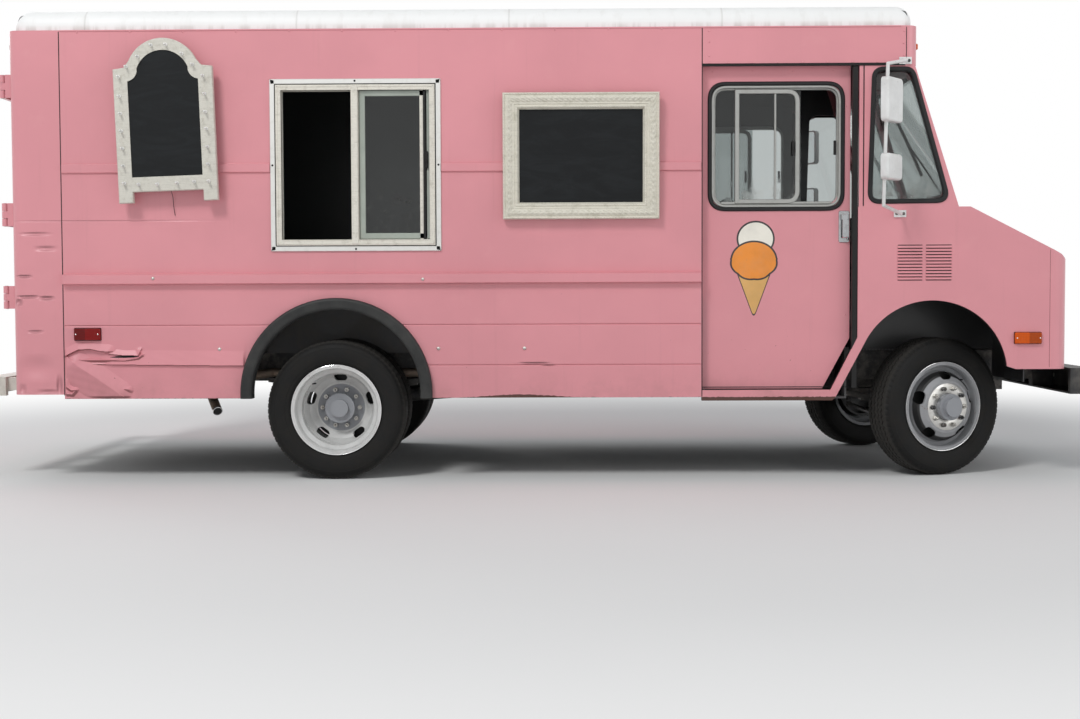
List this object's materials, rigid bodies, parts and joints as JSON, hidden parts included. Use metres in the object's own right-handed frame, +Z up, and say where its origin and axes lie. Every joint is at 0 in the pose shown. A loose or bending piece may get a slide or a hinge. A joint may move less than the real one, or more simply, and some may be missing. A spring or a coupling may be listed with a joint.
{
  "type": "ice cream truck",
  "caption": "Step van fitted out as an ice cream truck, with a serving window, sliding cab doors, twin rear wheels, steered front wheels, rear doors and a lifting hood.",
  "frame": {"origin": "on the ground, under the middle of the truck's overall length and width", "axes": "+X forward, +Y to the driver's left, +Z up"},
  "size_m": [6.49, 2.9748, 2.7498],
  "materials": {
    "pink_paint": "aged gloss paint",
    "roof_white": "white gloss paint",
    "frame_black": "black chassis paint",
    "floor_steel": "dark painted sheet",
    "cream_paint": "cream paint",
    "engine_iron": "oily cast iron",
    "axle_steel": "black painted steel",
    "spring_steel": "black painted spring steel",
    "pipe_steel": "rusty steel tube",
    "rim_white": "white wheel paint, worn",
    "tyre_rubber": "black tyre rubber",
    "rubber": "black rubber",
    "window_aluminium": "anodised aluminium",
    "clear_glass": "clear window glass",
    "lamp_glass": "clear lamp lens in a chrome ring",
    "marker_plastic": "amber and red lens plastic",
    "grille_black": "black paint",
    "mirror_white": "white enamel",
    "cream_wood": "cream painted wood, black panel",
    "ivory_moulding": "ivory carved moulding, black board",
    "dash_black": "black moulded cover",
    "seat_vinyl": "black vinyl",
    "wheel_plastic": "black moulded rim",
    "galley_steel": "stainless sheet"
  },
  "bodies": {
    "root": {"arch_flares": "rubber", "cab_frame": "pink_paint", "cross_members": "frame_black", "dashboard": "dash_black", "drive_line": "engine_iron", "driver_seat": "seat_vinyl", "exhaust": "pipe_steel", "fixed_glass": "clear_glass", "floor": "floor_steel", "frame_rails": "frame_black", "front_axle": "axle_steel", "front_bumper": "frame_black", "fuel_tank": "spring_steel", "galley": "galley_steel", "grille": "grille_black", "head_lamps": "lamp_glass", "leaf_springs": "spring_steel", "left_wall": "pink_paint", "marker_lamps": "marker_plastic", "menu_board": "ivory_moulding", "mirrors": "mirror_white", "nose": "pink_paint", "rear_axle": "axle_steel", "rear_bumper": "cream_paint", "rear_frame": "pink_paint", "right_wall": "pink_paint", "roof": "roof_white", "serving_window": "window_aluminium", "sign_board": "cream_wood", "spring_hangers": "frame_black"},
    "right_knuckle": {"right_knuckle": "axle_steel"},
    "left_knuckle": {"left_knuckle": "axle_steel"},
    "tie_rod": {"tie_rod": "axle_steel"},
    "steering_wheel": {"steering_wheel": "wheel_plastic"},
    "right_front_wheel": {"right_front_tyre": "tyre_rubber", "right_front_rim": "rim_white"},
    "left_front_wheel": {"left_front_tyre": "tyre_rubber", "left_front_rim": "rim_white"},
    "right_rear_wheels": {"right_rear_tyres": "tyre_rubber", "right_rear_rims": "rim_white"},
    "left_rear_wheels": {"left_rear_tyres": "tyre_rubber", "left_rear_rims": "rim_white"},
    "right_sliding_door": {"right_door": "pink_paint", "right_door_glass": "clear_glass"},
    "left_sliding_door": {"left_door": "pink_paint", "left_door_glass": "clear_glass"},
    "right_rear_door": {"right_rear_door": "pink_paint"},
    "left_rear_door": {"left_rear_door": "pink_paint"},
    "hood": {"hood": "pink_paint"}
  },
  "joints": [
    {"name": "right_steer", "type": "hinge", "parent": "root", "child": "right_knuckle", "pos_m": [2.34, -0.72, 0.406], "axis": [0, 0, 1], "range_deg": [-57.5, 12.5]},
    {"name": "left_steer", "type": "hinge", "parent": "root", "child": "left_knuckle", "pos_m": [2.34, 0.72, 0.406], "axis": [0, 0, 1], "range_deg": [-57.5, 12.5]},
    {"name": "tie_rod_ball", "type": "hinge", "parent": "right_knuckle", "child": "tie_rod", "pos_m": [2.18294, -0.78506, 0.302], "axis": [0, 0, 1], "range_deg": [-12.5, 57.5]},
    {"name": "steering_wheel_turn", "type": "hinge", "parent": "root", "child": "steering_wheel", "pos_m": [1.99, 0.59, 1.39], "axis": [-0.7318, 0, 0.6815], "range_deg": [-690, 150]},
    {"name": "right_front_spin", "type": "hinge", "parent": "right_knuckle", "child": "right_front_wheel", "pos_m": [2.39358, -0.84934, 0.406], "axis": [-0.3827, 0.9239, 0], "continuous": true},
    {"name": "left_front_spin", "type": "hinge", "parent": "left_knuckle", "child": "left_front_wheel", "pos_m": [2.28642, 0.84934, 0.406], "axis": [-0.3827, 0.9239, 0], "continuous": true},
    {"name": "right_rear_spin", "type": "hinge", "parent": "root", "child": "right_rear_wheels", "pos_m": [-1.14, -0.8545, 0.406], "axis": [0, 1, 0], "continuous": true},
    {"name": "left_rear_spin", "type": "hinge", "parent": "root", "child": "left_rear_wheels", "pos_m": [-1.14, 0.8545, 0.406], "axis": [0, 1, 0], "continuous": true},
    {"name": "right_door_slide", "type": "slide", "parent": "root", "child": "right_sliding_door", "axis": [-1, 0, 0], "range_m": [0, 0.78]},
    {"name": "left_door_slide", "type": "slide", "parent": "root", "child": "left_sliding_door", "axis": [-1, 0, 0], "range_m": [0, 0.78]},
    {"name": "right_rear_door_swing", "type": "hinge", "parent": "root", "child": "right_rear_door", "pos_m": [-3.06, -1.075, 1.07], "axis": [0, 0, 1], "range_deg": [0, 180]},
    {"name": "left_rear_door_swing", "type": "hinge", "parent": "root", "child": "left_rear_door", "pos_m": [-3.06, 1.075, 1.07], "axis": [0, 0, -1], "range_deg": [0, 180]},
    {"name": "hood_lift", "type": "hinge", "parent": "root", "child": "hood", "pos_m": [2.54, 0, 1.57268], "axis": [0, -1, 0], "range_deg": [0, 65]}
  ],
  "couplings": [
    {"joint": "left_steer", "follows": "right_steer", "ratio": 1},
    {"joint": "tie_rod_ball", "follows": "right_steer", "ratio": -1},
    {"joint": "steering_wheel_turn", "follows": "right_steer", "ratio": 12}
  ]
}
